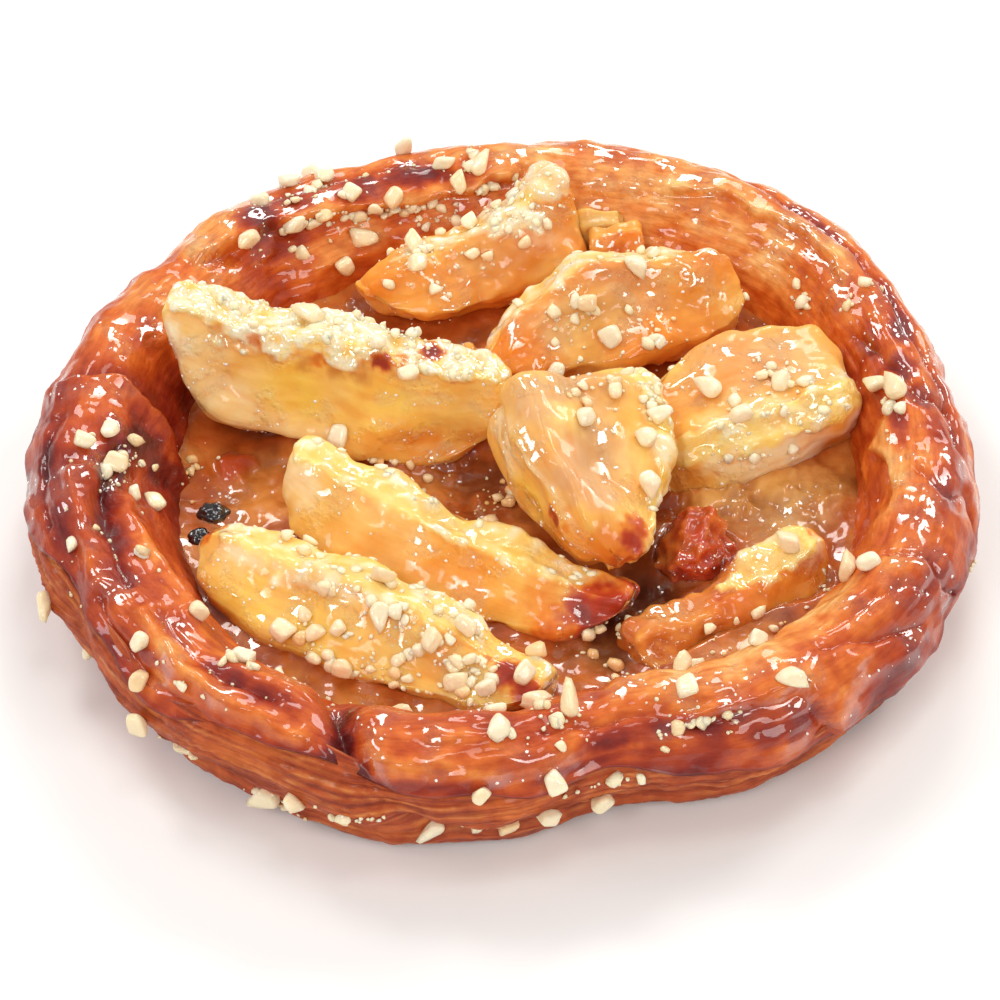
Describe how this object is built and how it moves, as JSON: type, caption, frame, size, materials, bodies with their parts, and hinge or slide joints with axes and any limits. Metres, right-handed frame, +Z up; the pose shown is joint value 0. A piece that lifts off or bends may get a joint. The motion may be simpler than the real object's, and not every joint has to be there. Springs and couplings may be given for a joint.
{
  "type": "apple tart",
  "caption": "Round open apple tart: a rolled, glazed puff-pastry rim round cream filling, with roasted apple slices on top and chopped nuts scattered over all.",
  "frame": {"origin": "middle of the tart's flat underside, on the surface that it rests on", "axes": "+Z up out of the open top; the side shown in the picture faces -Y, and the picture's right is +X"},
  "size_m": [0.1293, 0.1292, 0.0287],
  "materials": {
    "pastry": "egg-glazed baked pastry",
    "cream": "glazed baked cream",
    "apple": "glazed roasted apple"
  },
  "bodies": {
    "root": {"pastry_case": "pastry", "cream_filling": "cream", "apple_slice_a": "apple", "apple_slice_b": "apple", "apple_slice_c": "apple", "apple_slice_d": "apple", "apple_slice_e": "apple", "apple_slice_f": "apple", "apple_slice_g": "apple", "apple_slice_h": "apple", "apple_chunk_a": "apple", "apple_chunk_b": "apple", "apple_chunk_c": "apple"}
  },
  "joints": []
}
